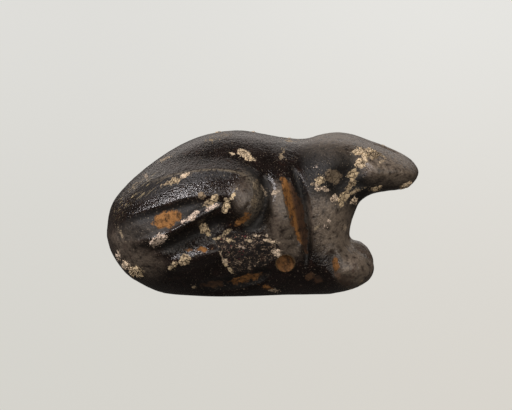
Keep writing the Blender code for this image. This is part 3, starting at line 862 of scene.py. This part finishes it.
def patch_tree():
    """Geometry tree: lifts the parts of a surface where a stored share is high, closed underneath."""
    tree, start = new_geometry_tree("grown_patch", (
        ("Share", "String"), ("Thickness share", "String"), ("Least thickness", "Float"), ("Height", "Float"),
        ("Sink", "Float"), ("Lump size", "Float"), ("Raggedness", "Float"), ("Flakiness", "Float"),
        ("Seed", "Float"), ("Material", "Material")))
    share_here, thick = [add_node(tree, "GeometryNodeInputNamedAttribute", {"Name": start[label]}, data_type="FLOAT")
                         for label in ("Share", "Thickness share")]
    place = add_node(tree, "GeometryNodeInputPosition")

    # The faces inside the ragged edge are kept and split finer
    density = add_node(tree, MATH, {0: 1.0, 1: start["Lump size"]}, operation="DIVIDE")
    lumps = add_node(tree, NOISE, {"Vector": place, "W": start["Seed"], "Scale": density, "Detail": LUMP_DETAIL,
                                   "Roughness": LUMP_ROUGHNESS}, noise_dimensions="4D")
    ragged = add_node(tree, MATH, {0: lumps, 1: 0.5}, operation="SUBTRACT")
    ragged = add_node(tree, MATH, {0: ragged, 1: start["Raggedness"], 2: share_here}, operation="MULTIPLY_ADD")
    inside, enough = [add_node(tree, "FunctionNodeCompare", {0: value, 1: least}, data_type="FLOAT",
                               operation="GREATER_THAN")
                      for value, least in ((ragged, 0.5), (thick, start["Least thickness"]))]
    both = add_node(tree, "FunctionNodeBooleanMath", {0: inside, 1: enough}, operation="AND")
    kept = add_node(tree, "GeometryNodeSeparateGeometry", {"Geometry": start["Geometry"], "Selection": both},
                    domain="FACE")
    finer = add_node(tree, "GeometryNodeSubdivideMesh", {"Mesh": kept, "Level": 1})

    # They swell from the edge, in lumps and flakes, and start a little below the stone
    uneven = add_node(tree, MATH, {0: lumps, 1: LUMP_SWING}, operation="MULTIPLY")
    shade, solid = flakes(tree, place)
    flaked = add_node(tree, MATH, {0: shade, 1: FLAKE_SWING, 2: FLAKE_BASE}, operation="MULTIPLY_ADD")
    flaked = add_node(tree, MATH, {0: flaked, 1: solid}, operation="MULTIPLY")
    flaked = add_node(tree, MIX, {0: start["Flakiness"], 2: 1.0, 3: flaked}, data_type="FLOAT")
    lift = add_node(tree, RANGE, {0: ragged, 1: 0.5, 2: FULL_SWELL, 3: 0.0, 4: 1.0}, **SOFT)
    for factor in (thick, uneven, flaked, start["Height"]):
        lift = add_node(tree, MATH, {0: lift, 1: factor}, operation="MULTIPLY")
    lift = add_node(tree, MATH, {0: lift, 1: start["Sink"]}, operation="SUBTRACT")
    outward = add_node(tree, "GeometryNodeInputNormal")
    step = add_node(tree, VECTOR, {0: outward, "Scale": lift}, operation="SCALE")
    skin = add_node(tree, "GeometryNodeSetPosition", {"Geometry": finer, "Offset": step})

    # A copy of the skin pushed inwards, with walls between the two, closes the patch
    depth = add_node(tree, MATH, {0: start["Sink"], 1: -2.0}, operation="MULTIPLY")
    under = add_node(tree, VECTOR, {0: outward, "Scale": depth}, operation="SCALE")
    walls = add_node(tree, "GeometryNodeExtrudeMesh", {"Mesh": skin, "Offset": under, "Individual": False})
    walls = add_node(tree, "GeometryNodeFlipFaces", {"Mesh": walls})
    shell = tree.nodes.new("GeometryNodeJoinGeometry")
    for sheet in (walls, skin):
        tree.links.new(sheet, shell.inputs[0])
    sealed = add_node(tree, "GeometryNodeMergeByDistance", {"Geometry": shell.outputs[0], "Distance": SEAL})
    smooth = add_node(tree, "GeometryNodeSetShadeSmooth", {"Geometry": sealed, "Shade Smooth": True})
    whole = add_node(tree, "GeometryNodeRealizeInstances", {"Geometry": smooth})
    done = add_node(tree, "GeometryNodeSetMaterial", {"Geometry": whole, "Material": start["Material"]})
    add_node(tree, "NodeGroupOutput", {0: done})
    return tree


def grown(tree, source, name, values):
    """Runs a geometry tree on an object and keeps the result as a plain mesh of its own."""
    holder = new_object("holder", source.data)
    modifier = holder.modifiers.new("Grow", "NODES")
    modifier.node_group = tree
    for item in tree.interface.items_tree:
        if item.in_out == "INPUT" and item.name in values:
            modifier[item.identifier] = values[item.name]
    mesh = evaluated_copy(holder)
    mesh.name = name
    print(name, "has", len(mesh.polygons), "faces")
    return new_object(name, mesh)


PATCHES = patch_tree()
crust_piece = grown(PATCHES, stone, "lime_crust", {
    "Share": "crust", "Thickness share": "crust_thickness", "Least thickness": 0.45, "Height": 0.14 * MM,
    "Sink": 0.02 * MM, "Lump size": CRUST_LUMP, "Raggedness": CRUST_RAGGED, "Flakiness": 1.0, "Seed": CRUST_SEED,
    "Material": crust_material})

# %% [markdown]
# ## Loose grains
# Single grains stick to the stone. Round the crust they are lime. All over the eroded patch beside
# the string hole they are chips of the stone itself. Geometry Nodes scatter them over the surface
# where the stored share allows, turn and size each by a fixed seed, and make them one plain mesh.

# %% The tree that scatters grains
FLATTEST = (0.7, 0.5, 0.35)
LONGEST = (1.6, 1.0, 0.6)


def grain_tree():
    """Geometry tree: small lumps scattered where a stored share is high."""
    tree, start = new_geometry_tree("scattered_grains", (
        ("Share", "String"), ("Least share", "Float"), ("Grains per square metre", "Float"), ("Smallest", "Float"),
        ("Largest", "Float"), ("Seed", "Int"), ("Material", "Material")))
    share_here = add_node(tree, "GeometryNodeInputNamedAttribute", {"Name": start["Share"]}, data_type="FLOAT")
    inside = add_node(tree, "FunctionNodeCompare", {0: share_here, 1: start["Least share"]}, data_type="FLOAT",
                      operation="GREATER_THAN")
    spots = tree.nodes.new("GeometryNodeDistributePointsOnFaces")
    for label, socket in (("Mesh", start["Geometry"]), ("Selection", inside),
                          ("Density", start["Grains per square metre"]), ("Seed", start["Seed"])):
        tree.links.new(socket, spots.inputs[label])
    lump = add_node(tree, "GeometryNodeMeshIcoSphere", {"Radius": 1.0, "Subdivisions": 1})
    flatness = add_node(tree, "FunctionNodeRandomValue", {0: FLATTEST, 1: LONGEST, "Seed": start["Seed"]},
                        data_type="FLOAT_VECTOR")
    size = add_node(tree, "FunctionNodeRandomValue", {
        2: start["Smallest"], 3: start["Largest"], "Seed": start["Seed"]}, give=1, data_type="FLOAT")
    scale = add_node(tree, VECTOR, {0: flatness, "Scale": size}, operation="SCALE")
    placed = add_node(tree, "GeometryNodeInstanceOnPoints", {
        "Points": spots.outputs["Points"], "Instance": lump, "Rotation": spots.outputs["Rotation"], "Scale": scale})
    whole = add_node(tree, "GeometryNodeRealizeInstances", {"Geometry": placed})
    done = add_node(tree, "GeometryNodeSetMaterial", {"Geometry": whole, "Material": start["Material"]})
    add_node(tree, "NodeGroupOutput", {0: done})
    return tree


SCATTER = grain_tree()
print("the scattering tree has", len(SCATTER.nodes), "nodes")

# %% Chips of stone in the eroded patch: matt, and dark to pale as their grains caught the break
CHIP_DARK = "#4a3a31"
CHIP_PALE = "#b59e86"
CHIP_MM = 0.25


def chip_colour(tree, where):
    """Small chips of the stone itself, from dark to pale."""
    lit = add_node(tree, RANGE, {0: grains(tree, where, CHIP_MM), 1: 0.4, 2: 0.6})
    return add_node(tree, MIX, {0: lit, 6: colour(CHIP_DARK), 7: colour(CHIP_PALE)}, **COLOURS)


chip_material = dirt_material("loose_stone_chips", chip_colour, 0.1, 0.03)
rough_grains = grown(SCATTER, stone, "eroded_patch_grains", {
    "Share": "rough", "Least share": 0.55, "Grains per square metre": 22 / MM ** 2, "Smallest": 0.015 * MM,
    "Largest": 0.045 * MM, "Seed": 5, "Material": chip_material})

# %% Grains of crust
crust_grains = grown(SCATTER, stone, "crust_grains", {
    "Share": "crust", "Least share": 0.3, "Grains per square metre": 9 / MM ** 2, "Smallest": 0.012 * MM,
    "Largest": 0.04 * MM, "Seed": 8, "Material": crust_material})

# %% [markdown]
# ## Earth in the hollows
# Brown earth stayed where the carver cut deepest: in the recess of the upper arm, beside the
# thigh and along the foot. It is softer and finer than the crust, so the same tree grows it with
# less height and smoother edges.

# %% Earth patches
earth_piece = grown(PATCHES, stone, "packed_earth", {
    "Share": "earth", "Thickness share": "earth_thickness", "Least thickness": 0.6, "Height": 0.07 * MM,
    "Sink": 0.015 * MM, "Lump size": EARTH_LUMP, "Raggedness": EARTH_RAGGED, "Flakiness": 0.0,
    "Seed": EARTH_SEED, "Material": earth_material})

# %% [markdown]
# ## Earth in the string hole
# The hole's near end is packed with earth a little below its rim. A round plug fills it, with a
# hollowed, crumbly face. The far end stays open, as nothing says it is blocked.

# %% The plug
PLUG_RINGS = 12
PLUG_SIDES = 48
PLUG_DEPTH = 2.2 * MM
PLUG_BELOW_RIM = 0.10 * MM
PLUG_HOLLOW = 0.10 * MM
PLUG_LUMPS = 0.09 * MM
PLUG_CRUMBS = (0.14 * MM, 0.4 * MM)
WIDE_CRUMB_SHARE = 0.5
CRUMB_LEVEL = 0.75
PLUG_TONE = 0.5
RIM_RING = (1.01, 1.15)
stone_rows = read_points(stone_mesh)


def hole_surface():
    """Where the stone's near flank lies beside the hole."""
    out = np.hypot(stone_rows[:, 0] - HOLE_X, stone_rows[:, 2] - HOLE_Z) / (HOLE_RADIUS * PART)
    beside = (out > RIM_RING[0]) & (out < RIM_RING[1]) & (stone_rows[:, 1] < 0)
    return stone_rows[beside, 1].mean()


def plug_mesh(face_y):
    """A closed plug whose near face is hollow and lumpy."""
    form = bmesh.new()
    radius = HOLE_RADIUS * PART
    loops = []
    for ring in range(1, PLUG_RINGS + 1):
        out = ring / PLUG_RINGS
        turn = np.arange(PLUG_SIDES) * 2 * np.pi / PLUG_SIDES
        x = HOLE_X + radius * out * np.cos(turn)
        z = HOLE_Z + radius * out * np.sin(turn)
        rows = np.stack([x, np.zeros(PLUG_SIDES), z], axis=1)
        lumps = grain(rows / PLUG_CRUMBS[0], 1, 21) + WIDE_CRUMB_SHARE * grain(rows / PLUG_CRUMBS[1], 1, 22)
        lumps -= CRUMB_LEVEL
        y = face_y + PLUG_BELOW_RIM + PLUG_HOLLOW * (1 - out ** 2) + PLUG_LUMPS * lumps * (1 - out ** 6)
        loops.append([form.verts.new(place) for place in zip(x, y, z)])
    middle = form.verts.new((HOLE_X, face_y + PLUG_BELOW_RIM + PLUG_HOLLOW, HOLE_Z))
    loops.append([form.verts.new((vert.co.x, face_y + PLUG_DEPTH, vert.co.z)) for vert in loops[-1]])
    for i in range(PLUG_SIDES):
        j = (i + 1) % PLUG_SIDES
        form.faces.new((middle, loops[0][i], loops[0][j]))
        for inner, outer in zip(loops, loops[1:]):
            form.faces.new((inner[i], outer[i], outer[j], inner[j]))
    form.faces.new(loops[-1])
    bmesh.ops.recalc_face_normals(form, faces=form.faces[:])
    mesh = bpy.data.meshes.new("string_hole_earth")
    form.to_mesh(mesh)
    form.free()
    mesh.shade_smooth()
    return mesh


plug = new_object("string_hole_earth", plug_mesh(hole_surface()))
store(plug.data, "earth_tone", np.full(len(plug.data.vertices), PLUG_TONE))
plug.data.materials.append(earth_material)
print("plug face at y =", round(hole_surface() / MM, 2), "mm")

# %% [markdown]
# ## Dark stone
# The stone is dense and nearly black, perhaps serpentine or steatite, carved and then worn by
# handling: it takes a soft polish, broken by fine pits, and its raised parts carry a thin matt
# film of dust, laid on lighter where it also stands for painted sheen. Its IOR is that of common silicate stone. The
# colour is laid on in layers, from the stone up to the dirt, with painted shade in the grooves and a painted
# highlight on the haunch's rim, and each layer has a share that says where it lies. Round the crust and the earth
# the dirt thins to a stain on the stone itself.

# %% Where each layer of the stone's colour lies
CLOUD_MM, RED_SPOT_MM, FILM_MM, PIT_MM, SPECK_MM = 1.6, 0.5, 0.4, 0.14, 0.1
CHIP_STREAK_MM, RED_CHIP_MM, SCRATCH_MM = 0.1, 0.22, 0.12
ROUGH_LUMP = 0.4 * MM
RIM_SLOPE = 0.65
RING_WIDTH = 0.1 * MM
SHARES = ("crust", "crust_thickness", "earth", "earth_thickness", "rough", "wear_and_highlight", "scratched", "hollow", "dust_and_sheen")
stone_material = new_material("worn_dark_stone")
tree = stone_material.node_tree
where = add_node(tree, "ShaderNodeTexCoord", give="Object")
film = grains(tree, where, FILM_MM, 5)
fine = grains(tree, where, PIT_MM)
dots = grains(tree, where, SPECK_MM, 2)
shares = {name: add_node(tree, STORED, give="Fac", attribute_name=name) for name in SHARES}


def frayed(name, by, lump, seed, start, end):
    """A stored share with its edge broken up by the same lumps as the grown patches."""
    lumps = add_node(tree, NOISE, {"Vector": where, "W": seed, "Scale": 1 / lump, "Detail": LUMP_DETAIL,
                                   "Roughness": LUMP_ROUGHNESS}, noise_dimensions="4D")
    offset = add_node(tree, MATH, {0: lumps, 1: 0.5}, operation="SUBTRACT")
    offset = add_node(tree, MATH, {0: offset, 1: by, 2: shares[name]}, operation="MULTIPLY_ADD")
    return add_node(tree, RANGE, {0: offset, 1: start, 2: end}, **SOFT)


# Soft clouds in the stone, redder spots, and painted shade: grooves and shaded areas painted near black
clouds = add_node(tree, RANGE, {0: grains(tree, where, CLOUD_MM), 1: 0.35, 2: 0.65}, **SOFT)
red_spots = add_node(tree, RANGE, {0: grains(tree, where, RED_SPOT_MM, 4), 1: 0.55, 2: 0.7, 4: 0.4}, **SOFT)
hollow = add_node(tree, RANGE, {0: shares["hollow"], 1: 0.05, 2: 0.7}, **SOFT)

# Dust that handling left on the faces that look forward, also painted sheen there and on the head top, and single
# pale specks all over
dust_sheen = add_node(tree, RANGE, {0: film, 1: 0.2, 2: 0.6}, **SOFT)
thinned = add_node(tree, RANGE, {0: fine, 1: 0.34, 2: 0.58, 3: 0.62, 4: 1.0}, **SOFT)
for factor in (shares["dust_and_sheen"], thinned):
    dust_sheen = add_node(tree, MATH, {0: dust_sheen, 1: factor}, operation="MULTIPLY")
specks = add_node(tree, RANGE, {0: dots, 1: 0.63, 2: 0.73, 4: 0.55}, **SOFT)

# The eroded patch: black pits with pale and a few red chips in clusters
eroded = frayed("rough", 1.3, ROUGH_LUMP, 7.0, 0.44, 0.58)
chips = grains(tree, where, CHIP_STREAK_MM, 4, (1, 1, 1.6), 0.6)
chips = add_node(tree, RANGE, {0: chips, 1: 0.53, 2: 0.6}, **SOFT)
clusters = add_node(tree, RANGE, {0: film, 1: 0.44, 2: 0.6}, **SOFT)
chips = add_node(tree, MATH, {0: chips, 1: clusters}, operation="MULTIPLY")
red_chips = add_node(tree, RANGE, {0: grains(tree, where, RED_CHIP_MM, 1), 1: 0.7, 2: 0.74}, **SOFT)

# Scratches along the rump, the worn edge of the haunch's rim lightened as a painted highlight on its crest, and a
# ring worn round the hole
streaks = grains(tree, where, SCRATCH_MM, 2, (0.1, 1, 1), RIM_SLOPE)
streaks = add_node(tree, RANGE, {0: streaks, 1: 0.6, 2: 0.68}, **SOFT)
streaks = add_node(tree, MATH, {0: streaks, 1: shares["scratched"]}, operation="MULTIPLY")
edge = add_node(tree, RANGE, {0: fine, 1: 0.34, 2: 0.6}, **SOFT)
edge = add_node(tree, MATH, {0: edge, 1: shares["wear_and_highlight"]}, operation="MULTIPLY")
flat = add_node(tree, VECTOR, {0: where, 1: (1, 0, 1)}, operation="MULTIPLY")
ring = add_node(tree, VECTOR, {0: flat, 1: (HOLE_X, 0, HOLE_Z)}, give="Value", operation="DISTANCE")
rim = HOLE_RADIUS * PART
ring = add_node(tree, RANGE, {0: ring, 1: rim, 2: rim + RING_WIDTH, 3: 0.8, 4: 0.0})

# Stains round the earth and the crust, weaker where the dirt is thin
stains = []
for name, full, fray in (("earth", 0.8, (EARTH_RAGGED, EARTH_LUMP, EARTH_SEED, 0.42, 0.6)),
                         ("crust", 0.7, (CRUST_RAGGED, CRUST_LUMP, CRUST_SEED, 0.44, 0.54))):
    thick = add_node(tree, RANGE, {0: shares[name + "_thickness"], 1: 0.0, 2: full}, **SOFT)
    stains.append(add_node(tree, MATH, {0: frayed(name, *fray), 1: thick}, operation="MULTIPLY"))
earth_stain, crust_stain = stains
print(len(shares), "stored shares steer the stone's layers")

# %% Dark stone material: worn to a soft polish, matt where dust and dirt lie, with painted shade, sheen and highlight
STONE_IOR = 1.55
# The deepest colour is painted shade, laid where the hollow share is high
STONE_DARK, STONE_BROWN, STONE_RED, SHADE_BLACK = "#130d0b", "#211816", "#3a2620", "#0c0807"
PIT_BLACK, RED_CHIP = "#150e0c", "#6e2a30"
# The dust colour is also painted sheen, and the worn edge colour a painted highlight on the haunch's rim
DUST_SHEEN, SPECK, SCRATCH, WORN_EDGE_HIGHLIGHT, WORN_RING = "#918374", "#a39582", "#cdb98f", "#8f8473", "#80694a"
POLISH = (0.28, 0.14)
DUST_ROUGHNESS, HOLLOW_ROUGHNESS, STAIN_ROUGHNESS = 0.5, 0.62, 0.9
PIT_RELIEF, FILM_RELIEF = 0.05 * MM, 0.022 * MM
chipped = add_node(tree, MIX, {0: chips, 6: colour(PIT_BLACK), 7: chip_colour(tree, where)}, **COLOURS)
chipped = add_node(tree, MIX, {0: red_chips, 6: chipped, 7: colour(RED_CHIP)}, **COLOURS)
body = add_node(tree, MIX, {0: clouds, 6: colour(STONE_DARK), 7: colour(STONE_BROWN)}, **COLOURS)
layers = [(red_spots, colour(STONE_RED)), (hollow, colour(SHADE_BLACK)), (dust_sheen, colour(DUST_SHEEN)),
          (specks, colour(SPECK)), (eroded, chipped), (streaks, colour(SCRATCH)), (edge, colour(WORN_EDGE_HIGHLIGHT)),
          (ring, colour(WORN_RING)), (earth_stain, earth_colour(tree, where)),
          (crust_stain, crust_colour(tree, where))]
for layer_share, layer_colour in layers:
    body = add_node(tree, MIX, {0: layer_share, 6: body, 7: layer_colour}, **COLOURS)

dirty = earth_stain
for other in (crust_stain, eroded):
    dirty = add_node(tree, MATH, {0: dirty, 1: other}, operation="MAXIMUM")
gloss = add_node(tree, RANGE, {0: dots, 1: 0.4, 2: 0.6, 3: POLISH[0], 4: POLISH[1]})
for layer_share, roughness in ((dust_sheen, DUST_ROUGHNESS), (hollow, HOLLOW_ROUGHNESS), (dirty, STAIN_ROUGHNESS)):
    gloss = add_node(tree, MIX, {0: layer_share, 2: gloss, 3: roughness}, data_type="FLOAT")
pits = add_node(tree, "ShaderNodeBump", {"Strength": 1.0, "Distance": PIT_RELIEF, "Height": fine})
pits = add_node(tree, "ShaderNodeBump", {"Strength": 1.0, "Distance": FILM_RELIEF, "Height": film, "Normal": pits})
surface = add_node(tree, "ShaderNodeBsdfPrincipled", {"Base Color": body, "Roughness": gloss, "IOR": STONE_IOR,
                                                      "Normal": pits})
add_node(tree, "ShaderNodeOutputMaterial", {"Surface": surface})
stone_mesh.materials.append(stone_material)
print("stone material has", len(tree.nodes), "nodes in", len(layers), "layers")

# %% [markdown]
# ## The camera, the floor and the light
# The photograph looks at the flank from a little above with a long lens, so depth hardly shrinks.
# The camera stands far off and aims where the picture's middle lies on the frog. The floor is one
# wide flat sheet that glows evenly, so it fills the view as a pale backdrop and hides nothing from
# any side. Three soft lights shape the stone: a small one from the left draws the shine along the
# thigh, a wide one from the front fills, and one from behind runs along the back.

# %% Camera
PICTURE = (512, 410)
PIXELS_LONG = 311
FROG_MIDDLE_PX = 262.5
FROG_FOOT_PX = 297
FOOT_DROP = 1.75
CAMERA_DISTANCE = 0.45
SENSOR = 36
sight = Vector((0, -np.cos(SIGHT_RISE), np.sin(SIGHT_RISE)))
sight_up = Vector((0, np.sin(SIGHT_RISE), np.cos(SIGHT_RISE)))
pixel = LENGTH / PIXELS_LONG
aim = Vector((1, 0, 0)) * (PICTURE[0] / 2 - FROG_MIDDLE_PX) * pixel
aim += sight_up * ((FROG_FOOT_PX - PICTURE[1] / 2) * pixel - FOOT_DROP * PART)
lens = bpy.data.cameras.new("camera")
lens.sensor_width = SENSOR
lens.lens = SENSOR * CAMERA_DISTANCE / (PICTURE[0] * pixel)
lens.clip_start = 0.01
lens.clip_end = 5
camera = new_object("camera", lens)
camera.location = aim + sight * CAMERA_DISTANCE
camera.rotation_euler = sight.to_track_quat("Z", "Y").to_euler()
bpy.context.scene.camera = camera
print("focal length", round(lens.lens), "mm")

# %% Floor of matt white paper, lit so evenly that it shows no shadow
FLOOR_HALF = 0.6
LEFT_TONES = ("#d4d2cb", "#dfdeda")
RIGHT_TONES = ("#d7d3cb", "#e6e5e1")
ACROSS, AWAY = (-0.018, 0.018), (-0.1, 0.2)
CORNERS = [(-1, -1), (1, -1), (1, 1), (-1, 1)]
floor_mesh = bpy.data.meshes.new("floor")
floor_mesh.from_pydata([(x * FLOOR_HALF, y * FLOOR_HALF, 0) for x, y in CORNERS], [], [(0, 1, 2, 3)])
floor = new_object("floor", floor_mesh)
# Pale paper that gives off its own even light, a little brighter away and to the right
floor_material = new_material("pale_paper_floor")
tree = floor_material.node_tree
where = add_node(tree, "ShaderNodeTexCoord", give="Object")
across = add_node(tree, "ShaderNodeSeparateXYZ", {0: where}, give="X")
away = add_node(tree, "ShaderNodeSeparateXYZ", {0: where}, give="Y")
across = add_node(tree, RANGE, {0: across, 1: ACROSS[0], 2: ACROSS[1]}, **SOFT)
away = add_node(tree, RANGE, {0: away, 1: AWAY[0], 2: AWAY[1]}, **SOFT)
left, right = [add_node(tree, MIX, {0: away, 6: colour(near), 7: colour(far)}, **COLOURS)
               for near, far in (LEFT_TONES, RIGHT_TONES)]
glow = add_node(tree, MIX, {0: across, 6: left, 7: right}, **COLOURS)
glow = add_node(tree, "ShaderNodeEmission", {"Color": glow, "Strength": 1.0})
add_node(tree, "ShaderNodeOutputMaterial", {"Surface": glow})
floor_mesh.materials.append(floor_material)
floor.visible_glossy = False
floor.visible_diffuse = False
print("floor reaches", FLOOR_HALF * 2, "m across")

# %% Lights
FROG_HEART = (0, 0, 0.006)
WARM = (1.0, 0.93, 0.86)
GOLDEN = (1.0, 0.92, 0.86)
ROSY = (1.0, 0.95, 0.96)
ROOM = "#403c39"


def soft_light(name, azimuth, elevation, distance, size, power, tint):
    """A soft light that faces the frog from a direction given in degrees, as the camera's is."""
    turn, rise = np.radians(azimuth), np.radians(elevation)
    back = Vector((np.sin(turn) * np.cos(rise), -np.cos(turn) * np.cos(rise), np.sin(rise)))
    data = bpy.data.lights.new(name, "AREA")
    data.shape = "RECTANGLE"
    data.size, data.size_y = size
    data.energy = power
    data.color = tint
    light = new_object(name, data)
    light.location = Vector(FROG_HEART) + back * distance
    light.rotation_euler = back.to_track_quat("Z", "Y").to_euler()
    light.visible_camera = False
    print(name, "shines from azimuth", azimuth, "and elevation", elevation)


soft_light("key", -60, 35, 0.30, (0.10, 0.06), 0.6, ROSY)
soft_light("front_fill", 20, 14, 0.32, (0.50, 0.30), 0.8, WARM)
soft_light("back_sweep", 175, 30, 0.32, (0.45, 0.20), 0.27, GOLDEN)
world = bpy.data.worlds.new("studio")
bpy.context.scene.world = world
world.use_nodes = True
tree = world.node_tree
tree.nodes.clear()
room = add_node(tree, "ShaderNodeBackground", {"Color": colour(ROOM), "Strength": 1.0})
add_node(tree, "ShaderNodeOutputWorld", {"Surface": room})
bpy.context.scene.view_settings.view_transform = "Standard"

# %% Everything rides on the frog's one body
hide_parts("frog_amulet")
for piece in (stone, crust_piece, earth_piece, plug, rough_grains, crust_grains):
    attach(piece, "root")
